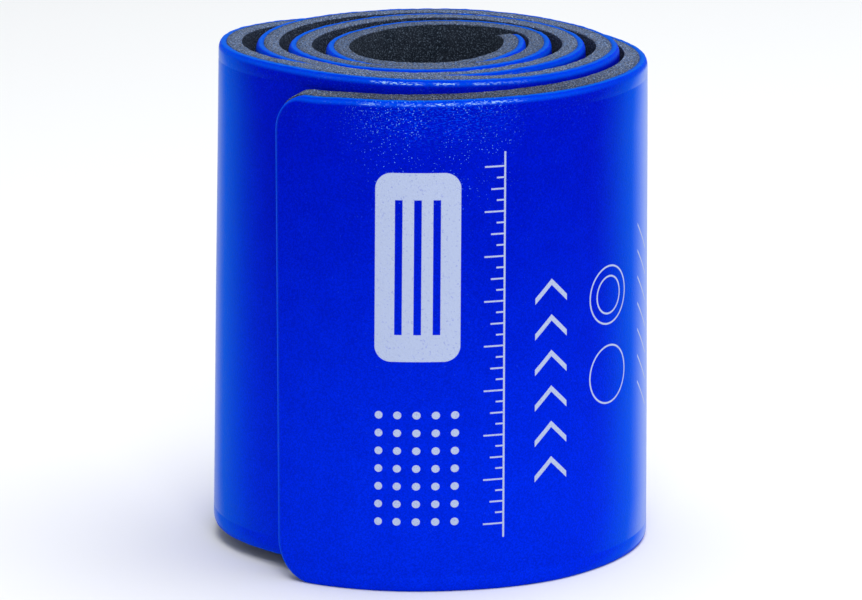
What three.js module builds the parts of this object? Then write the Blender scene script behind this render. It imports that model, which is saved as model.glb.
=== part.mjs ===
// A mouldable foam splint, rolled up and standing on end.
// Millimetres, +Z up. The free outer end lies at the front left, and the strip winds
// clockwise outwards, seen from above, from the curl inside the hollow.
import * as THREE from 'three';

// Strip, as it measures when it lies flat.
const STRIP_WIDTH = 110;
const SHELL_THICKNESS = 1.7;
const LINING_THICKNESS = 3.45;
const CORNER_RADIUS = 9;
const CORNER_STEPS = 6;

// Soft outer edge of the shell foam, and the cut edge of the lining foam.
const SHOULDER_DEPTH = 0.85;
const SHOULDER_REACH = 1.8;
const SHOULDER_STEPS = 4;
const CUT_SOFTNESS = 0.3;

// Clearances: between the two foams, and the least one between two wraps.
const BOND_GAP = 0.1;
const LEAST_WRAP_GAP = 0.2;

// Roll. Radii and gaps are measured at the line where the two foams meet.
const HOLLOW_RADIUS = 19.3;
const LOOSE_GAP = 3.8;
const INNER_END_DEG = 53;
const OUTER_END_DEG = -1576;
const STATION_DEG = 7.5;
const TRACK_STEP_DEG = 0.5;

// The outer wrap has slipped down and stands on its lower edge. The strip climbs and drops
// from there as it winds inwards, by these rises over these angles, counted from the
// right-hand side of the outer wrap.
const CLIMBS = [
  { place: 'left', from: 90, to: 190, rise: 3.65 },
  { place: 'front', from: 225, to: 315, rise: -0.95 },
  { place: 'back', from: 350, to: 450, rise: 0.4 },
];

// The foot of the roll is wider than its top all round, and lies further to the left.
const FOOT_FLARE = 1.2;
const FLARE_RADIUS = 47;
const FOOT_SHIFT = 0.75;

// The outer end is cut out of square: its lower corner stops this much earlier.
const END_SLANT_DEG = 3;
const SLANT_REACH_DEG = 40;

const TURN_DEG = 360;
const TABLE_STEP_DEG = 45;
const WRAP_PITCH = SHELL_THICKNESS + BOND_GAP + LINING_THICKNESS + LEAST_WRAP_GAP;

// One row for each direction, outwards from the right-hand side and clockwise from above.
// core: radius of the first turn, a share of HOLLOW_RADIUS.
// gap1 to gap4: slack of each later turn over the one inside it, a share of LOOSE_GAP.
const TURNS = [
  { toward: 'right', core: 1.00, gap1: 0.08, gap2: 0.58, gap3: 0.55, gap4: 0.22 },
  { toward: 'front_right', core: 1.03, gap1: 0.00, gap2: 0.30, gap3: 0.53, gap4: 0.00 },
  { toward: 'front', core: 1.19, gap1: 0.00, gap2: 0.00, gap3: 0.00, gap4: 0.00 },
  { toward: 'front_left', core: 1.20, gap1: 0.02, gap2: 0.00, gap3: 0.18, gap4: 0.10 },
  { toward: 'left', core: 1.12, gap1: 0.79, gap2: 0.45, gap3: 0.76, gap4: 0.18 },
  { toward: 'back_left', core: 1.18, gap1: 0.90, gap2: 0.97, gap3: 0.80, gap4: 0.18 },
  { toward: 'back', core: 1.42, gap1: 0.74, gap2: 0.13, gap3: 0.20, gap4: 0.18 },
  { toward: 'back_right', core: 1.47, gap1: 0.16, gap2: 0.03, gap3: 0.50, gap4: 0.18 },
];
const GAP_COLUMNS = ['gap1', 'gap2', 'gap3', 'gap4'];

function slopeAt(before, here, after) {
  const rise = here - before;
  const next = after - here;
  return rise * next > 0 ? (2 * rise * next) / (rise + next) : 0;
}

function hermite(a, b, slopeA, slopeB, t) {
  const t2 = t * t;
  const t3 = t2 * t;
  return a * (2 * t3 - 3 * t2 + 1) + slopeA * (t3 - 2 * t2 + t)
    + b * (3 * t2 - 2 * t3) + slopeB * (t3 - t2);
}

function gapNode(index) {
  const rows = TURNS.length;
  const turn = Math.floor(index / rows) - 1;
  const row = TURNS[index - (turn + 1) * rows];
  const column = GAP_COLUMNS[Math.min(Math.max(turn, 0), GAP_COLUMNS.length - 1)];
  return row[column] * LOOSE_GAP;
}

// Slack between the wrap at this winding and the one a turn further in. It never swings
// below the smaller of the two table values that it lies between.
function gapAt(winding) {
  const place = winding / TABLE_STEP_DEG;
  const index = Math.floor(place);
  const [p, a, b, n] = [-1, 0, 1, 2].map((step) => gapNode(index + step));
  return hermite(a, b, slopeAt(p, a, b), slopeAt(a, b, n), place - index);
}

function coreNode(index) {
  const rows = TURNS.length;
  if (index < 0) {
    return coreNode(index + rows) - WRAP_PITCH - TURNS[index + rows].gap1 * LOOSE_GAP;
  }
  if (index < rows) {
    return TURNS[index].core * HOLLOW_RADIUS;
  }
  return coreNode(index - rows) + WRAP_PITCH + gapNode(index);
}

function firstTurnRadius(winding) {
  const place = winding / TABLE_STEP_DEG;
  const index = Math.floor(place);
  const [p, a, b, n] = [-1, 0, 1, 2].map((step) => coreNode(index + step));
  return hermite(a, b, (b - p) / 2, (n - a) / 2, place - index);
}

// Radius of the line where the two foams meet, at an angle that falls by a turn with each
// wrap outwards. Winding is the same angle counted clockwise, as the strip winds.
function radiusAt(deg) {
  const winding = -deg;
  if (winding < TURN_DEG) {
    return firstTurnRadius(winding);
  }
  return radiusAt(deg + TURN_DEG) + WRAP_PITCH + gapAt(winding);
}

function footHeight(deg) {
  const wound = deg + TURN_DEG * GAP_COLUMNS.length;
  return CLIMBS.reduce((sum, { from, to, rise }) => sum + rise * THREE.MathUtils.smoothstep(wound, from, to), 0);
}

// Angle of each station, with the length of strip wound up to it. The stations of all
// wraps lie on the same rays, so that facets stay parallel where wraps lie close.
function windStrip() {
  const track = [{ deg: INNER_END_DEG, length: 0 }];
  for (let deg = INNER_END_DEG - TRACK_STEP_DEG; deg >= OUTER_END_DEG; deg -= TRACK_STEP_DEG) {
    const last = track[track.length - 1];
    const step = THREE.MathUtils.degToRad(TRACK_STEP_DEG) * radiusAt(deg + TRACK_STEP_DEG / 2);
    track.push({ deg, length: last.length + step });
  }
  return track;
}

function degAtLength(track, length) {
  let low = 0;
  let high = track.length - 1;
  while (high - low > 1) {
    const middle = (low + high) >> 1;
    if (track[middle].length < length) {
      low = middle;
    } else {
      high = middle;
    }
  }
  const share = (length - track[low].length) / (track[high].length - track[low].length);
  return THREE.MathUtils.lerp(track[low].deg, track[high].deg, share);
}

// Half outline of the strip at a given inset: pairs of length along it and half width.
function outlineColumns(track, inset) {
  const whole = track[track.length - 1].length;
  const columns = [];
  const radius = CORNER_RADIUS - inset;
  const half = STRIP_WIDTH / 2;
  for (let step = 0; step <= CORNER_STEPS; step += 1) {
    const turn = (step / CORNER_STEPS) * (Math.PI / 2);
    columns.push({
      along: CORNER_RADIUS - radius * Math.cos(turn),
      half: half - CORNER_RADIUS + radius * Math.sin(turn),
    });
  }
  const mirrored = columns.map((column) => ({ along: whole - column.along, half: column.half }));
  const firstRay = Math.floor(degAtLength(track, CORNER_RADIUS) / STATION_DEG) * STATION_DEG;
  const lastDeg = degAtLength(track, whole - CORNER_RADIUS);
  const straight = [];
  for (let deg = firstRay; deg > lastDeg; deg -= STATION_DEG) {
    straight.push({ deg, half: half - inset });
  }
  const ends = (column) => ({ deg: degAtLength(track, column.along), half: column.half });
  return [...columns.map(ends), ...straight, ...mirrored.reverse().map(ends)];
}

function place(deg, offset, height) {
  const z = footHeight(deg) + height;
  const low = 1 - z / STRIP_WIDTH;
  const nearEnd = 1 - THREE.MathUtils.smoothstep(deg - OUTER_END_DEG, 0, SLANT_REACH_DEG);
  const turned = deg + END_SLANT_DEG * low * nearEnd;
  const flare = 1 + (FOOT_FLARE / FLARE_RADIUS) * low;
  const radius = (radiusAt(turned) + offset) * flare;
  const angle = THREE.MathUtils.degToRad(turned);
  return [radius * Math.cos(angle) - FOOT_SHIFT * low, radius * Math.sin(angle), z];
}

// A pad wound with the strip. Each loop of the profile runs around the whole outline at
// its inset and offset, and the first and last are closed across the width.
function woundPad(track, profile) {
  const positions = [];
  const index = [];
  const loops = profile.map(({ inset, offset }) => {
    const columns = outlineColumns(track, inset);
    const start = positions.length / 3;
    const middle = STRIP_WIDTH / 2;
    columns.forEach((column) => positions.push(...place(column.deg, offset, middle + column.half)));
    columns.forEach((column) => positions.push(...place(column.deg, offset, middle - column.half)));
    return { start, count: columns.length };
  });
  const quad = (a, b, c, d) => index.push(a, b, c, a, c, d);
  for (let k = 0; k + 1 < loops.length; k += 1) {
    const { start: low, count } = loops[k];
    const high = loops[k + 1].start;
    for (let i = 0; i + 1 < count; i += 1) {
      quad(low + i, low + i + 1, high + i + 1, high + i);
      quad(low + count + i + 1, low + count + i, high + count + i, high + count + i + 1);
    }
    quad(low + count, low, high, high + count);
    quad(low + count - 1, low + 2 * count - 1, high + 2 * count - 1, high + count - 1);
  }
  const cap = (start, count, outward) => {
    for (let i = 0; i + 1 < count; i += 1) {
      const corners = [start + i, start + i + 1, start + count + i + 1, start + count + i];
      quad(...(outward ? corners : corners.reverse()));
    }
  };
  cap(loops[loops.length - 1].start, loops[0].count, true);
  cap(loops[0].start, loops[0].count, false);
  const geometry = new THREE.BufferGeometry();
  geometry.setAttribute('position', new THREE.Float32BufferAttribute(positions, 3));
  geometry.setIndex(index);
  return geometry;
}

// The shell's outer edge is a quarter of an ellipse, flat on the outer face.
function shellProfile() {
  const inner = BOND_GAP / 2;
  const outer = inner + SHELL_THICKNESS;
  const profile = [{ inset: 0, offset: inner }];
  for (let step = 0; step <= SHOULDER_STEPS; step += 1) {
    const turn = (step / SHOULDER_STEPS) * (Math.PI / 2);
    profile.push({
      inset: SHOULDER_REACH * (1 - Math.cos(turn)),
      offset: outer - SHOULDER_DEPTH * (1 - Math.sin(turn)),
    });
  }
  return profile;
}

function liningProfile() {
  const outer = -BOND_GAP / 2;
  const inner = outer - LINING_THICKNESS;
  return [
    { inset: CUT_SOFTNESS, offset: inner },
    { inset: 0, offset: inner + CUT_SOFTNESS },
    { inset: 0, offset: outer },
  ];
}

function shellFoamMaterial() {
  return new THREE.MeshStandardMaterial({ color: 0x0a28c8, roughness: 0.45, metalness: 0 });
}

function liningFoamMaterial() {
  return new THREE.MeshStandardMaterial({ color: 0x5d6272, roughness: 0.9, metalness: 0 });
}

function shellFoam(track) {
  const mesh = new THREE.Mesh(woundPad(track, shellProfile()), shellFoamMaterial());
  mesh.name = 'shell_foam';
  return mesh;
}

function liningFoam(track) {
  const mesh = new THREE.Mesh(woundPad(track, liningProfile()), liningFoamMaterial());
  mesh.name = 'lining_foam';
  return mesh;
}

// Puts the middle of the footprint on the Z axis.
function centreFootprint(roll) {
  const middle = new THREE.Box3().setFromObject(roll).getCenter(new THREE.Vector3());
  roll.children.forEach((mesh) => mesh.geometry.translate(-middle.x, -middle.y, 0));
}

function foamSplintRoll() {
  const track = windStrip();
  const roll = new THREE.Group();
  roll.name = 'foam_splint_roll';
  roll.add(shellFoam(track), liningFoam(track));
  centreFootprint(roll);
  return roll;
}

export default foamSplintRoll();
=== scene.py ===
import math
import bpy
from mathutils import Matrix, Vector, noise


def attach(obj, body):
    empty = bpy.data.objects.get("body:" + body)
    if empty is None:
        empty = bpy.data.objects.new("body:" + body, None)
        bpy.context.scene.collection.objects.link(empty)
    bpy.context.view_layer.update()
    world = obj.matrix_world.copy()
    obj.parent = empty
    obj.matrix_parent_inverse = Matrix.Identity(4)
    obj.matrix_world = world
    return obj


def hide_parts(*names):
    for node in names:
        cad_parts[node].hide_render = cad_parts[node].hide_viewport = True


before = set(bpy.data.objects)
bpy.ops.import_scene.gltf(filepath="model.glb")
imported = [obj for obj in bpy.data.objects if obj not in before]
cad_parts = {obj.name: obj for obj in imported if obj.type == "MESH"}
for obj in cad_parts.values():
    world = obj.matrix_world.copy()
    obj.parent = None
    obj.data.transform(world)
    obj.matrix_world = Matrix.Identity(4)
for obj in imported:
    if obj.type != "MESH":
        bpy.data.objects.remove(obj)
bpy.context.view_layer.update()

MM = 0.001

# The strip and the roll, as in the CAD, in millimetres and degrees.
WIDTH = 110.0
SHELL = 1.7
LINING = 3.45
BOND = 0.1
CORNER = 9.0
HOLLOW = 19.3
LOOSE = 3.8
LEAST = 0.2
INNER_END = 53.0
OUTER_END = -1576.0
CLIMBS = ((90.0, 190.0, 3.65), (225.0, 315.0, -0.95), (350.0, 450.0, 0.4))
FLARE = 1.2
FLARE_RADIUS = 47.0
FOOT_SHIFT = 0.75
END_SLANT = 3.0
SLANT_REACH = 40.0
PITCH = SHELL + BOND + LINING + LEAST
SHIFT = (0.2658, -1.5659)

# The innermost wrap's radius and the gaps outside it, every 45 degrees of winding, as shares
# of HOLLOW and LOOSE.
CORE = (1.00, 1.03, 1.19, 1.20, 1.12, 1.18, 1.42, 1.47)
GAPS = (
    (0.08, 0.00, 0.00, 0.02, 0.79, 0.90, 0.74, 0.16),
    (0.58, 0.30, 0.00, 0.00, 0.45, 0.97, 0.13, 0.03),
    (0.55, 0.53, 0.00, 0.18, 0.76, 0.80, 0.20, 0.50),
    (0.22, 0.00, 0.00, 0.10, 0.18, 0.18, 0.18, 0.18),
)

# Finer forms than the CAD has, in millimetres. The lining's corners are cut a little fuller, so
# that it peeps out behind the shell's.
LINING_CORNER = CORNER - 1.4
LINING_EDGE = 1.6
# The eased rim of the lining: inset from the edge, and height over the inner face.
LINING_RIM = ((0.3, 0.0), (0.09, 0.09), (0.0, 0.3))
SHOULDER_DEPTH = 0.85
SHOULDER_REACH = 1.8
SHOULDER_STEPS = 8
# The core's edge shows through the shell as a faint line: inset from the edge, and depth.
CORE_LINE = ((3.3, 0.0), (3.55, 0.08), (3.8, 0.08), (4.1, 0.0))

# The meshes: degrees between two points of the winding, steps round a corner, millimetres
# between two columns, and rows across a face.
WINDING_STEP = 0.5
CORNER_STEPS = 10
COLUMN_SPACING = 1.0
ROWS = 12

# Where the upper cut edge isn't level: middle and reach in degrees of winding, and how much
# higher the blue side and the grey side are there, in millimetres.
CUTS = (
    (-97.0, 62.0, -0.40, -0.15),
    (-444.0, 45.0, 0.15, 0.15),
    (-812.0, 45.0, -0.10, -0.15),
    (-1190.0, 45.0, 0.0, 0.35),
    (-1460.0, 80.0, -0.10, 0.85),
    (-1560.0, 55.0, -0.30, 0.35),
    (-1574.0, 22.0, -0.35, -0.30),
)
# The wrap left of the outer end hangs a little at its lower edge: middle and reach in degrees
# of winding, and the drop in millimetres.
SAG = (-1218.0, 52.0, 0.75)
# A cut or a sag is full over this share of its reach. It is full this near the edge, and gone
# this far in, in millimetres.
FULL_SHARE = 0.45
FULL_WITHIN = 0.5
GONE_BEYOND = 14.0

# The unevenness of the cut edges: its pace along the strip and through the thickness, how far
# in it goes, and for each layer of it the pace again and the height in millimetres.
RAGGED_PACE = (0.55, 1.4)
RAGGED_REACH = 1.5
RAGGED_LAYERS = ((1.0, 0.10), (2.7, 0.06))
# The strip bows in and out by this much, but not at its inner end: pace along and across, where
# in the noise, and from where to where along the strip it sets in.
BOW = 0.10
BOW_PACE = (0.03, 0.02)
BOW_SEED = 5.0
BOW_FROM = 30.0
BOW_FULL = 90.0


def slope_at(before, here, after):
    rise, following = here - before, after - here
    return 2 * rise * following / (rise + following) if rise * following > 0 else 0.0


def hermite(a, b, slope_a, slope_b, t):
    t2, t3 = t * t, t * t * t
    return (a * (2 * t3 - 3 * t2 + 1) + slope_a * (t3 - 2 * t2 + t)
            + b * (3 * t2 - 2 * t3) + slope_b * (t3 - t2))


def smoothstep(value, low, high):
    t = min(max((value - low) / (high - low), 0.0), 1.0)
    return t * t * (3 - 2 * t)


def gap_node(index):
    turn = index // 8 - 1
    return GAPS[min(max(turn, 0), 3)][index % 8] * LOOSE


def core_node(index):
    if index < 0:
        return core_node(index + 8) - PITCH - GAPS[0][index + 8] * LOOSE
    if index < 8:
        return CORE[index] * HOLLOW
    return core_node(index - 8) + PITCH + gap_node(index)


def radius_at(deg):
    """Radius of the bond between the two foams. The degrees count down as the strip winds out."""
    winding = -deg
    place = winding / 45.0
    index = math.floor(place)
    if winding < 360.0:
        p, a, b, n = (core_node(index + k) for k in (-1, 0, 1, 2))
        return hermite(a, b, (b - p) / 2, (n - a) / 2, place - index)
    p, a, b, n = (gap_node(index + k) for k in (-1, 0, 1, 2))
    gap = hermite(a, b, slope_at(p, a, b), slope_at(a, b, n), place - index)
    return radius_at(deg + 360.0) + PITCH + gap


def foot_height(deg):
    return sum(rise * smoothstep(deg + 1440.0, start, stop) for start, stop, rise in CLIMBS)


def wind():
    """Degrees, length from the inner end and radius, point by point along the strip."""
    track = [(INNER_END, 0.0, radius_at(INNER_END))]
    deg = INNER_END
    while deg > OUTER_END:
        deg -= WINDING_STEP
        step = math.radians(WINDING_STEP) * radius_at(deg + WINDING_STEP / 2)
        track.append((deg, track[-1][1] + step, radius_at(deg)))
    return track


TRACK = wind()
LENGTH = TRACK[-1][1]


def at_length(length):
    """Degrees and radius at a length from the inner end."""
    length = min(max(length, 0.0), LENGTH)
    low, high = 0, len(TRACK) - 1
    while high - low > 1:
        middle = (low + high) // 2
        if TRACK[middle][1] < length:
            low = middle
        else:
            high = middle
    a, b = TRACK[low], TRACK[high]
    t = (length - a[1]) / (b[1] - a[1])
    return a[0] + (b[0] - a[0]) * t, a[2] + (b[2] - a[2]) * t


def on_roll(along, offset, height):
    deg, radius = at_length(along)
    z = foot_height(deg) + height
    low = 1 - z / WIDTH
    near_end = 1 - smoothstep(deg - OUTER_END, 0.0, SLANT_REACH)
    if near_end > 0:
        deg += END_SLANT * low * near_end
        radius = radius_at(deg)
    r = (radius + offset) * (1 + FLARE / FLARE_RADIUS * low)
    x = r * math.cos(math.radians(deg)) - FOOT_SHIFT * low + SHIFT[0]
    return Vector((x, r * math.sin(math.radians(deg)) + SHIFT[1], z)) * MM


def columns(corner, inset):
    """Places along the strip with the half width there, at an inset from its edge."""
    radius = corner - inset
    half = WIDTH / 2
    arc = []
    for k in range(CORNER_STEPS + 1):
        turn = k / CORNER_STEPS * math.pi / 2
        arc.append((corner - radius * math.cos(turn), half - corner + radius * math.sin(turn)))
    between_corners = LENGTH - 2 * corner
    count = int(between_corners / COLUMN_SPACING)
    straight = []
    for k in range(1, count):
        straight.append((corner + between_corners * k / count, half - inset))
    return arc + straight + [(LENGTH - a, h) for a, h in reversed(arc)]


def near(deg, middle, reach):
    """1 around the middle, and 0 from the reach on."""
    return 1 - smoothstep(abs(deg - middle), reach * FULL_SHARE, reach)


def cut_at(deg, offset):
    share = min(max((offset + LINING + BOND / 2) / LINING, 0.0), 1.0)
    rise = 0.0
    for middle, reach, blue_side, grey_side in CUTS:
        rise += near(deg, middle, reach) * (grey_side + (blue_side - grey_side) * share)
    return rise


def sag_at(deg, height):
    middle, reach, drop = SAG
    return drop * near(deg, middle, reach) * (1 - smoothstep(height, FULL_WITHIN, GONE_BEYOND))


def ragged(along, offset, seed):
    """Small unevenness of a cut edge, in millimetres."""
    where = Vector((along * RAGGED_PACE[0], offset * RAGGED_PACE[1], seed))
    return sum(height * noise.noise(where * pace) for pace, height in RAGGED_LAYERS)


def bow_at(along, height):
    where = Vector((along * BOW_PACE[0], height * BOW_PACE[1], BOW_SEED))
    return BOW * noise.noise(where) * smoothstep(along, BOW_FROM, BOW_FULL)


def wound_pad(name, profile, corner, seed):
    """A pad wound with the strip: loops around its outline, closed across the width."""
    verts, faces, flat = [], [], []
    middle = WIDTH / 2

    def add(along, offset, height):
        deg = at_length(along)[0]
        near_top = smoothstep(height, WIDTH - GONE_BEYOND, WIDTH - FULL_WITHIN)
        near_edge = smoothstep(abs(height - middle), middle - RAGGED_REACH, middle)
        shift = near_top * cut_at(deg, offset) + near_edge * ragged(along, offset, seed)
        if height < middle:
            shift = max(shift - sag_at(deg, height), -foot_height(deg))
        verts.append(on_roll(along, offset + bow_at(along, height), height + shift))
        flat.append(((LENGTH - along) * MM, height * MM))
        return len(verts) - 1

    loops = []
    for inset, offset in profile:
        cols = columns(corner, inset)
        loops.append(([add(a, offset, middle + h) for a, h in cols],
                      [add(a, offset, middle - h) for a, h in cols]))
    for (low_top, low_bottom), (high_top, high_bottom) in zip(loops, loops[1:]):
        for i in range(len(low_top) - 1):
            faces.append((low_top[i], low_top[i + 1], high_top[i + 1], high_top[i]))
            faces.append((low_bottom[i + 1], low_bottom[i], high_bottom[i], high_bottom[i + 1]))
        faces.append((low_bottom[0], low_top[0], high_top[0], high_bottom[0]))
        faces.append((low_top[-1], low_bottom[-1], high_bottom[-1], high_top[-1]))
    broad_sides = ((profile[-1], loops[-1], True), (profile[0], loops[0], False))
    for (inset, offset), (top, bottom), outward in broad_sides:
        cols = columns(corner, inset)
        grid = [top]
        for row in range(1, ROWS):
            t = 1 - 2 * row / ROWS
            grid.append([add(a, offset, middle + h * t) for a, h in cols])
        grid.append(bottom)
        for upper, lower in zip(grid, grid[1:]):
            for i in range(len(upper) - 1):
                quad = (upper[i], upper[i + 1], lower[i + 1], lower[i])
                faces.append(quad if outward else quad[::-1])
    mesh = bpy.data.meshes.new(name)
    mesh.from_pydata(verts, [], faces)
    uv = mesh.uv_layers.new(name="strip")
    for loop in mesh.loops:
        uv.data[loop.index].uv = flat[loop.vertex_index]
    mesh.polygons.foreach_set("use_smooth", [True] * len(mesh.polygons))
    mesh.update()
    piece = bpy.data.objects.new(name, mesh)
    bpy.context.collection.objects.link(piece)
    return piece


def shell_profile():
    """Insets from the edge with offsets from the bond: up the edge, round it and past the line."""
    inner = BOND / 2
    outer = inner + SHELL
    profile = [(0.0, inner)]
    for step in range(SHOULDER_STEPS + 1):
        turn = step / SHOULDER_STEPS * math.pi / 2
        inset = SHOULDER_REACH * (1 - math.cos(turn))
        profile.append((inset, outer - SHOULDER_DEPTH * (1 - math.sin(turn))))
    return profile + [(inset, outer - depth) for inset, depth in CORE_LINE]


def lining_profile():
    """The same for the lining, from its inner face over the eased rim to the bond."""
    outer = -BOND / 2
    rim = [(inset, outer - LINING + rise) for inset, rise in LINING_RIM]
    return rim + [(0.0, outer - LINING_EDGE), (0.0, outer)]


shell = wound_pad("shell_pad", shell_profile(), CORNER, 1.0)
lining = wound_pad("lining_pad", lining_profile(), LINING_CORNER, 2.0)


def new_material(name):
    material = bpy.data.materials.new(name)
    material.use_nodes = True
    tree = material.node_tree
    return material, tree, tree.nodes["Principled BSDF"]


def put(tree, socket, value):
    """A number or a colour goes on the socket itself, anything else is linked to it."""
    if isinstance(value, (int, float, tuple)):
        socket.default_value = value
    else:
        tree.links.new(value, socket)


def calc(tree, operation, first, second=0.0, clamp=False):
    made = tree.nodes.new("ShaderNodeMath")
    made.operation = operation
    made.use_clamp = clamp
    put(tree, made.inputs[0], first)
    put(tree, made.inputs[1], second)
    return made.outputs[0]


def times(tree, first, *others):
    for other in others:
        first = calc(tree, "MULTIPLY", first, other)
    return first


def plus(tree, first, second):
    return calc(tree, "ADD", first, second)


def minus(tree, first, second):
    return calc(tree, "SUBTRACT", first, second)


def larger(tree, first, second):
    return calc(tree, "MAXIMUM", first, second)


def diagonal(tree, a, b):
    return calc(tree, "SQRT", plus(tree, times(tree, a, a), times(tree, b, b)))


def away(tree, value, middle):
    return calc(tree, "ABSOLUTE", minus(tree, value, middle * MM))


def fade(tree, value, start, stop, low=0.0, high=1.0):
    """Goes smoothly from low to high while value goes from start to stop."""
    made = tree.nodes.new("ShaderNodeMapRange")
    made.interpolation_type = "SMOOTHSTEP"
    put(tree, made.inputs["Value"], value)
    put(tree, made.inputs["From Min"], start)
    put(tree, made.inputs["From Max"], stop)
    put(tree, made.inputs["To Min"], low)
    put(tree, made.inputs["To Max"], high)
    return made.outputs["Result"]


def fade_mm(tree, value, start, stop, low=0.0, high=1.0):
    return fade(tree, value, start * MM, stop * MM, low, high)


def between(tree, share, low, high):
    """Low where the share is 0 and high where it is 1."""
    return fade(tree, share, 0.0, 1.0, low, high)


def blend(tree, share, first, second, mode="MIX"):
    made = tree.nodes.new("ShaderNodeMix")
    made.data_type = "RGBA"
    made.blend_type = mode
    put(tree, made.inputs[0], share)
    put(tree, made.inputs[6], first)
    put(tree, made.inputs[7], second)
    return made.outputs[2]


def cloud(tree, where, size, detail=2.0, rough=0.5):
    """Noise with blotches of about the given size in millimetres."""
    made = tree.nodes.new("ShaderNodeTexNoise")
    put(tree, made.inputs["Vector"], where)
    made.inputs["Scale"].default_value = 1 / (size * MM)
    made.inputs["Detail"].default_value = detail
    made.inputs["Roughness"].default_value = rough
    return made.outputs["Fac"]


def bump(tree, height, strength, depth):
    """Relief from a height, with its depth in millimetres."""
    made = tree.nodes.new("ShaderNodeBump")
    made.inputs["Strength"].default_value = strength
    made.inputs["Distance"].default_value = depth * MM
    put(tree, made.inputs["Height"], height)
    return made


# The foam's cells: the sizes in millimetres of the grain, the pits, the flecks and the mottling.
GRAIN_SIZE = 0.42
PIT_SIZE = 0.75
FLECK_SIZE = 0.31
MOTTLE_SIZE = 7
PIT_SHARE = 0.55
FLECK_RIM = 0.045


def foam_cells_group():
    """Closed-cell foam: grains of shade, a height for the bump, bright flecks and mottling."""
    group = bpy.data.node_groups.new("foam_cells", "ShaderNodeTree")
    face = group.interface
    face.new_socket("Vector", in_out="INPUT", socket_type="NodeSocketVector")
    face.new_socket("Fleck Threshold", in_out="INPUT", socket_type="NodeSocketFloat")
    for name in ("Shade", "Height", "Fleck", "Mottle"):
        face.new_socket(name, in_out="OUTPUT", socket_type="NodeSocketFloat")
    given = group.nodes.new("NodeGroupInput")
    out = group.nodes.new("NodeGroupOutput")
    vector = given.outputs["Vector"]
    fine = cloud(group, vector, GRAIN_SIZE, 3.0, 0.66)
    pits = group.nodes.new("ShaderNodeTexVoronoi")
    pits.inputs["Scale"].default_value = 1 / (PIT_SIZE * MM)
    group.links.new(vector, pits.inputs["Vector"])
    height = plus(group, times(group, pits.outputs["Distance"], PIT_SHARE), fine)
    over = minus(group, cloud(group, vector, FLECK_SIZE, 0.0), given.outputs["Fleck Threshold"])
    mottle = cloud(group, vector, MOTTLE_SIZE, 3.0, 0.6)
    group.links.new(fade(group, fine, 0.34, 0.66), out.inputs["Shade"])
    group.links.new(height, out.inputs["Height"])
    group.links.new(fade(group, over, 0.0, FLECK_RIM), out.inputs["Fleck"])
    group.links.new(fade(group, mottle, 0.25, 0.75), out.inputs["Mottle"])
    return group


FOAM_CELLS = foam_cells_group()


def foam_cells(tree, where, threshold):
    made = tree.nodes.new("ShaderNodeGroup")
    made.node_tree = FOAM_CELLS
    put(tree, made.inputs["Vector"], where)
    put(tree, made.inputs["Fleck Threshold"], threshold)
    return made.outputs


def strip_places(tree):
    """Metres from the outer end, and metres up from the lower edge."""
    flat = tree.nodes.new("ShaderNodeUVMap")
    flat.uv_map = "strip"
    split = tree.nodes.new("ShaderNodeSeparateXYZ")
    tree.links.new(flat.outputs["UV"], split.inputs["Vector"])
    return split.outputs["X"], split.outputs["Y"]


def drawn_out(tree, s, h, share):
    """A flat place where noise is drawn out along the strip."""
    flat = tree.nodes.new("ShaderNodeCombineXYZ")
    put(tree, flat.inputs["X"], times(tree, s, share))
    put(tree, flat.inputs["Y"], h)
    return flat.outputs["Vector"]


def from_outline(tree, s, h, corner):
    """How far in from the strip's long edges, and from its whole outline round the corners."""
    from_edge = minus(tree, WIDTH / 2 * MM, away(tree, h, WIDTH / 2))
    short = [larger(tree, minus(tree, corner * MM, value), 0.0) for value in (s, from_edge)]
    return from_edge, minus(tree, corner * MM, diagonal(tree, *short))


# The print, in millimetres from the outer end and up from the lower edge. Plates are left,
# right, low, high and the radius of the corners. Rows are a mark's place, the pitch, and half
# of a mark's breadth.
SOFT = 0.07
PANEL = (25, 43, 52, 94, 3.5)
SLOT_PLATE = (28.4, 39.6, 58, 88, 1.0)
SLOT_ROW = (30, 4, 0.8)
RULE_LINE = (52.2, 52.6, 11.8, 98.2, 0.1)
RULE_TICKS = ((10, 4.2), (5, 2.8), (2.5, 1.6))
TICK_FROM = 15
TICK_HALF = 0.18
TICK_SPAN = (14, 96, 0.1)
DOT_PLATE = (24.6, 43.4, 14.6, 41.4, 0.1)
DOT_PITCH = 4
DOT_FROM = (26, 16)
DOT_RADIUS = 0.85
CHEVRON_PLATE = (59.5, 67.5, 26, 70, 0.1)
CHEVRON_ROW = (28, 8, 0.7)
RINGS = ((81, 62, 6.5), (81, 62, 4.2), (81, 44, 6.5))
RING_HALF = 0.2
HATCH_PLATE = (95, 102, 129, 175, 0.2)
HATCH_ROW = (20, 6, 0.3)
MARKS_BEFORE = 20


def inside(tree, distance, half):
    """1 where the distance is under half, in millimetres, with a soft printed edge."""
    return fade_mm(tree, distance, half + SOFT, half - SOFT)


def plate(tree, s, h, left, right, low, high, corner):
    beyond = []
    for value, a, b in ((s, left, right), (h, low, high)):
        past = minus(tree, away(tree, value, (a + b) / 2), ((b - a) / 2 - corner) * MM)
        beyond.append(larger(tree, past, 0.0))
    return inside(tree, diagonal(tree, *beyond), corner)


def every(tree, value, start, pitch):
    """Distance to the nearest of a row of marks, counted from well before the start."""
    counted = minus(tree, value, (start - MARKS_BEFORE * pitch) * MM)
    return calc(tree, "PINGPONG", counted, pitch / 2 * MM)


def in_row(tree, value, start, pitch, half):
    return inside(tree, every(tree, value, start, pitch), half)


def ring(tree, s, h, at_s, at_h, radius):
    far = diagonal(tree, away(tree, s, at_s), away(tree, h, at_h))
    return inside(tree, away(tree, far, radius), RING_HALF)


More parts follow.
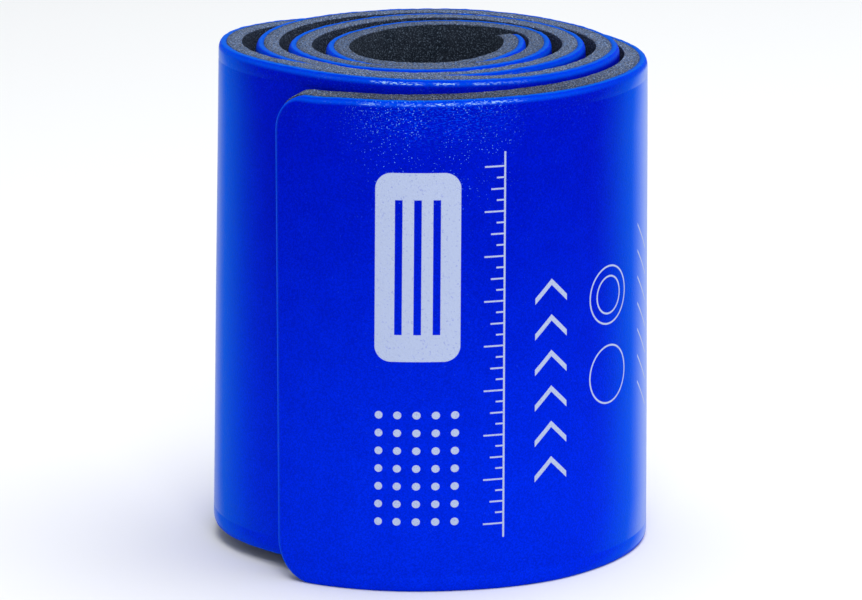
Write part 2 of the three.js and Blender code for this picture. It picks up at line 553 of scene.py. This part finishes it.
def print_marks(tree, s, h):
    """A plain print: a slotted panel, a rule, dots, chevrons, rings and slanted lines."""
    slots = times(tree, plate(tree, s, h, *SLOT_PLATE), in_row(tree, s, *SLOT_ROW))
    slotted = calc(tree, "SUBTRACT", plate(tree, s, h, *PANEL), slots, clamp=True)
    marks = [slotted, plate(tree, s, h, *RULE_LINE)]
    left, right = RULE_LINE[:2]
    for pitch, reach in RULE_TICKS:
        area = plate(tree, s, h, left - reach, (left + right) / 2, *TICK_SPAN)
        marks.append(times(tree, in_row(tree, h, TICK_FROM, pitch, TICK_HALF), area))
    to_dot = [every(tree, value, start, DOT_PITCH) for value, start in zip((s, h), DOT_FROM)]
    dots = inside(tree, diagonal(tree, *to_dot), DOT_RADIUS)
    marks.append(times(tree, dots, plate(tree, s, h, *DOT_PLATE)))
    slope = plus(tree, h, away(tree, s, sum(CHEVRON_PLATE[:2]) / 2))
    slant = plus(tree, h, s)
    leaning = ((slope, CHEVRON_ROW, CHEVRON_PLATE), (slant, HATCH_ROW, HATCH_PLATE))
    for value, row, area in leaning:
        marks.append(times(tree, in_row(tree, value, *row), plate(tree, s, value, *area)))
    marks += [ring(tree, s, h, *place) for place in RINGS]
    printed = marks[0]
    for mark in marks[1:]:
        printed = larger(tree, printed, mark)
    return printed


# The shell's colours, as linear red, green, blue and 1. The first two are pairs, mottled. The blue
# goes from the deep pair at the top to the lighter pair at the foot as painted light, standing in
# for the light that the floor throws up.
DEEP_BLUES = ((0.0, 0.0058, 0.53, 1), (0.0, 0.0077, 0.58, 1))
BOUNCE_LIT_BLUES = ((0.0, 0.0220, 0.77, 1), (0.0, 0.0250, 0.82, 1))
# Painted sheen and painted highlight: colours that stand in for light on the skin and its edge.
SHEEN_AZURE_PAINTED = (0.0, 0.130, 0.88, 1)
LIP_HIGHLIGHT_PAINTED = (0.0, 0.115, 0.98, 1)
SHEEN_PALE_PAINTED = (0.37, 0.48, 0.93, 1)
# Painted sparkle and painted highlight lines on the skin.
SPARKLE_BLUE_PAINTED = (0.16, 0.42, 1.0, 1)
LINE_HIGHLIGHT_PAINTED = (0.0, 0.070, 0.95, 1)
GLINT = (0.42, 0.68, 1.0, 1)
SLICED = (0.0, 0.100, 0.55, 1)
INK = (0.50, 0.575, 0.80, 1)
SHEEN_TINT = (0.1, 0.5, 1.0, 1)
# There is a painted sparkle fleck where the noise is over a level, which drops near the upper edge.
# Away from the patch of bright painted sparkle the flecks are this faint.
FLECK_LEVEL = 0.765
LEVEL_DROP = 0.065
FAINT_SPARKLE = 0.05


def blue_with_painted_bounce(tree, h, cells):
    """The mottled blue, painted a little lighter towards the foot to stand in for light from the
    floor.
    """
    deep = blend(tree, cells["Mottle"], *DEEP_BLUES)
    light = blend(tree, cells["Mottle"], *BOUNCE_LIT_BLUES)
    # Painted light: lighter towards the foot, for the light bounced up from the floor.
    blue = blend(tree, fade_mm(tree, h, -5, 112), light, deep)
    return blend(tree, 1.0, blue, between(tree, cells["Shade"], 0.86, 1.14), "MULTIPLY")


def add_sheen(tree, blue, s, h, inset):
    """Painted sheen: the velvety skin is painted azure and then pale where it is seen along the
    surface, most of all on the right. Its rounded edge is painted bright, as a highlight."""
    facing = tree.nodes.new("ShaderNodeLayerWeight").outputs["Facing"]
    outermost = fade_mm(tree, s, 330, 290)
    right = fade_mm(tree, s, 190, 140)
    # The rounding is tighter at the end of the strip.
    breadth = times(tree, inset, fade_mm(tree, s, 3, 9, 2.0, 1.0))
    edge = fade_mm(tree, breadth, 1.6, 0.6)
    # Painted sheen: azure where the surface turns away from view, on the outermost turn.
    turned = fade(tree, minus(tree, facing, times(tree, right, 0.03)), 0.34, 0.78)
    azure = times(tree, turned, between(tree, edge, 1.0, 0.4), outermost)
    blue = blend(tree, azure, blue, SHEEN_AZURE_PAINTED)
    # Painted highlight along the rounded edge, kept off the foot and stronger on some stretches.
    lip = times(tree, edge, fade_mm(tree, h, 1, 9), fade_mm(tree, breadth, 0.0, 0.9, 0.2, 0.6))
    brighter = larger(tree, fade_mm(tree, s, 55, 90, 1.0, 0.4), fade_mm(tree, s, 215, 250))
    blue = blend(tree, times(tree, lip, brighter), blue, LIP_HIGHLIGHT_PAINTED)
    # Painted reflection: pale where the surface is seen along it, on the outermost turn only.
    along = fade(tree, plus(tree, facing, between(tree, right, 0.04, 0.08)), 0.70, 1.0)
    pale = times(tree, along, outermost, between(tree, right, 0.75, 0.94))
    pale = times(tree, pale, fade_mm(tree, s, 1.5, 5), minus(tree, 1.0, edge))
    return blend(tree, pale, blue, SHEEN_PALE_PAINTED)


def add_painted_sparkle(tree, blue, coords, s, h, cells, near_top, grain):
    """Painted sparkle: flecks of painted highlight, bright in a patch near the outer end and faint
    elsewhere, and fine lines of painted highlight along the skin just under the upper edge."""
    at_end = times(tree, fade_mm(tree, s, 14, 34), fade_mm(tree, s, 60, 44))
    sparkle_patch = times(tree, fade_mm(tree, h, 80, 100), at_end)
    patchy = fade(tree, cloud(tree, coords, 9, 1.0), 0.25, 0.6)
    sparkle_share = larger(tree, times(tree, sparkle_patch, patchy), FAINT_SPARKLE)
    # Painted sparkle: bright flecks that stand in for glints off the foam's cells.
    blue = blend(tree, times(tree, cells["Fleck"], sparkle_share), blue, SPARKLE_BLUE_PAINTED)
    # Painted highlights in fine lines along the skin, under the upper edge.
    fine_lines = times(tree, sparkle_patch, near_top, fade(tree, grain, 0.52, 0.66, 0.0, 0.8))
    return blend(tree, fine_lines, blue, LINE_HIGHLIGHT_PAINTED)


def add_glints(tree, blue, coords, inset, near_top, grain):
    """Broken glints along the rounded upper edge, only at the front."""
    spot = tree.nodes.new("ShaderNodeSeparateXYZ")
    tree.links.new(coords, spot.inputs["Vector"])
    x, y = spot.outputs["X"], spot.outputs["Y"]
    front = times(tree, fade_mm(tree, y, 0, -12), fade_mm(tree, x, -26, -6), fade_mm(tree, x, 24, 10))
    on_edge = times(tree, fade_mm(tree, inset, 0.4, 0.6), fade_mm(tree, inset, 1.15, 0.8))
    patches = fade(tree, cloud(tree, coords, 6, 2.0), 0.38, 0.60)
    broken = times(tree, patches, fade(tree, grain, 0.46, 0.58))
    return blend(tree, times(tree, on_edge, front, near_top, broken), blue, GLINT)


def shell_relief(tree, coords, s, h, cells):
    """Cells over a soft unevenness, with creases along a band inside each long edge."""
    half = WIDTH / 2
    off_middle = away(tree, h, half)
    band = times(tree, fade_mm(tree, off_middle, half - 9, half - 5),
                 fade_mm(tree, off_middle, half - SHOULDER_REACH, half - 3))
    creases = fade(tree, cloud(tree, drawn_out(tree, s, h, 0.10), 0.9, 2.0), 0.35, 0.65)
    uneven = plus(tree, cloud(tree, coords, 9, 2.0), times(tree, creases, band, 0.35))
    relief = bump(tree, cells["Height"], 0.5, 0.16)
    tree.links.new(bump(tree, uneven, 0.5, 0.35).outputs["Normal"], relief.inputs["Normal"])
    return relief


def shell_material():
    material, tree, skin = new_material("shell_foam_skin")
    coords = tree.nodes.new("ShaderNodeTexCoord").outputs["Object"]
    s, h = strip_places(tree)
    near_top = fade_mm(tree, h, 96, 108)
    threshold = minus(tree, FLECK_LEVEL, times(tree, near_top, LEVEL_DROP))
    cells = foam_cells(tree, coords, threshold)
    from_edge, inset = from_outline(tree, s, h, CORNER)
    grain = cloud(tree, drawn_out(tree, s, h, 0.3), 0.26, 1.0)
    blue = blue_with_painted_bounce(tree, h, cells)
    blue = add_sheen(tree, blue, s, h, inset)
    blue = add_painted_sparkle(tree, blue, coords, s, h, cells, near_top, grain)
    blue = add_glints(tree, blue, coords, inset, near_top, grain)
    # The sliced upper and lower edges are a little greener.
    blue = blend(tree, fade_mm(tree, from_edge, 0.15, 0.02, 0.0, 0.75), blue, SLICED)
    worn = fade(tree, cloud(tree, coords, 0.5, 2.0), 0.30, 0.40, 0.75, 1.0)
    printed = times(tree, print_marks(tree, s, h), worn)
    tree.links.new(blend(tree, printed, blue, INK), skin.inputs["Base Color"])
    tree.links.new(between(tree, cells["Shade"], 0.30, 0.46), skin.inputs["Roughness"])
    skin.inputs["IOR"].default_value = 1.04
    skin.inputs["Specular Tint"].default_value = SHEEN_TINT
    relief = shell_relief(tree, coords, s, h, cells)
    tree.links.new(relief.outputs["Normal"], skin.inputs["Normal"])
    return material


# The lining's colours, for its closed faces and its cut edge. The closed greys are partly the
# faces' own darker tone and partly painted shade, since these faces show only inside the hollow.
LINING_FLECK_LEVEL = 0.65
CLOSED_GREYS = ((0.011, 0.017, 0.028, 1), (0.125, 0.168, 0.232, 1))
CUT_GREYS = ((0.024, 0.031, 0.046, 1), (0.147, 0.176, 0.255, 1))
CUT_FLECK = (0.42, 0.47, 0.60, 1)
CUT_TONES = ((0.82, 0.98, 1.16, 1), (1.20, 1.02, 0.84, 1))
MOTTLE_GREY = (0.07, 0.08, 0.11, 1)
# What the cut edge's colour is multiplied by: at the outer end, and then from here to there
# along the strip, in millimetres.
END_TINT = (0.74, 0.80, 0.85, 1)
TINTS = (
    (6, 24, (0.49, 0.51, 0.53, 1)),
    (55, 105, (0.80, 0.93, 1.10, 1)),
    (680, 780, (0.64, 0.75, 0.90, 1)),
)


def cut_edge_grey(tree, coords, s, cells):
    """Open cells, lighter than the closed faces, in tones that change along the strip."""
    grey = blend(tree, cells["Shade"], *CUT_GREYS)
    grey = blend(tree, times(tree, cells["Fleck"], 0.8), grey, CUT_FLECK)
    tint = END_TINT
    for start, stop, colour in TINTS:
        tint = blend(tree, fade_mm(tree, s, start, stop), tint, colour)
    grey = blend(tree, 1.0, grey, tint, "MULTIPLY")
    tone = blend(tree, fade(tree, cloud(tree, coords, 0.5, 1.0), 0.38, 0.62), *CUT_TONES)
    return blend(tree, 1.0, grey, tone, "MULTIPLY")


def lining_material():
    material, tree, skin = new_material("lining_foam_cells")
    coords = tree.nodes.new("ShaderNodeTexCoord").outputs["Object"]
    s, h = strip_places(tree)
    cells = foam_cells(tree, coords, LINING_FLECK_LEVEL)
    cut = fade_mm(tree, from_outline(tree, s, h, LINING_CORNER)[1], 0.32, 0.05)
    strokes = fade(tree, cloud(tree, coords, 0.32, 2.0, 0.6), 0.50, 0.72)
    # Partly painted shade: the closed faces lie inside the hollow, and their greys are darkened for
    # it.
    closed = blend(tree, strokes, *CLOSED_GREYS)
    grey = blend(tree, cut, closed, cut_edge_grey(tree, coords, s, cells))
    grey = blend(tree, times(tree, cells["Mottle"], 0.2), grey, MOTTLE_GREY)
    tree.links.new(grey, skin.inputs["Base Color"])
    skin.inputs["Roughness"].default_value = 0.9
    skin.inputs["IOR"].default_value = 1.15
    relief = bump(tree, cells["Height"], 0.7, 0.25)
    tree.links.new(relief.outputs["Normal"], skin.inputs["Normal"])
    return material


shell.data.materials.append(shell_material())
lining.data.materials.append(lining_material())

for piece, old, slot in ((shell, "shell_foam", "shell_foam"), (lining, "lining_foam", "lining_foam")):
    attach(piece, "root")
    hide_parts(old)

# The studio. Lights have a place, an aim, a size in metres and a power in watts.
FLOOR_GREY = (0.86, 0.86, 0.86, 1)
SKY = (0.9, 0.95, 1.0, 1)
SKY_STRENGTH = 0.42
FLOOR_SIZE = 8
FLOOR_PLACE = (0, 1.0, 0)
LIGHTS = (
    ("overhead_box", (0.25, 0.1, 1.3), (0, 0.0, 0), (1.6, 1.6), 20),
    ("front_box", (0.06, -0.9, 0.95), (0, 0, 0.08), (0.45, 0.12), 4),
)

# The camera, fitted to the photo: its angle above level, its distance from a middle at a
# height, and the height that it aims at, in metres, with the sensor and lens in millimetres.
ELEVATION = math.radians(13.47)
DISTANCE = 1.45
MIDDLE_HEIGHT = 0.055
AIM_HEIGHT = 0.0546
SENSOR = 36.0
LENS = 269.4


def look_at(item, target):
    item.rotation_euler = (Vector(target) - item.location).to_track_quat("-Z", "Y").to_euler()


def area_light(name, place, target, size, power):
    light = bpy.data.lights.new(name, "AREA")
    light.shape = "RECTANGLE"
    light.size, light.size_y = size
    light.energy = power
    item = bpy.data.objects.new(name, light)
    bpy.context.collection.objects.link(item)
    item.location = place
    look_at(item, target)


bpy.ops.mesh.primitive_plane_add(size=FLOOR_SIZE, location=FLOOR_PLACE)
floor = bpy.context.object
floor.name = "floor"
floor_material, _, floor_skin = new_material("floor_pale")
floor_skin.inputs["Base Color"].default_value = FLOOR_GREY
floor_skin.inputs["Roughness"].default_value = 0.9
floor.data.materials.append(floor_material)

world = bpy.data.worlds.new("studio")
bpy.context.scene.world = world
world.use_nodes = True
world.node_tree.nodes["Background"].inputs["Color"].default_value = SKY
world.node_tree.nodes["Background"].inputs["Strength"].default_value = SKY_STRENGTH
for settings in LIGHTS:
    area_light(*settings)

camera_data = bpy.data.cameras.new("camera")
camera = bpy.data.objects.new("camera", camera_data)
bpy.context.collection.objects.link(camera)
bpy.context.scene.camera = camera
aim = Vector((SHIFT[0] * MM, SHIFT[1] * MM, AIM_HEIGHT))
camera_height = MIDDLE_HEIGHT + DISTANCE * math.sin(ELEVATION)
camera.location = (aim.x, aim.y - DISTANCE * math.cos(ELEVATION), camera_height)
camera_data.sensor_width = SENSOR
camera_data.lens = LENS
camera_data.clip_start = 0.05
camera_data.clip_end = 30.0
look_at(camera, aim)
bpy.context.scene.view_settings.view_transform = "Standard"
bpy.context.scene.view_settings.look = "None"
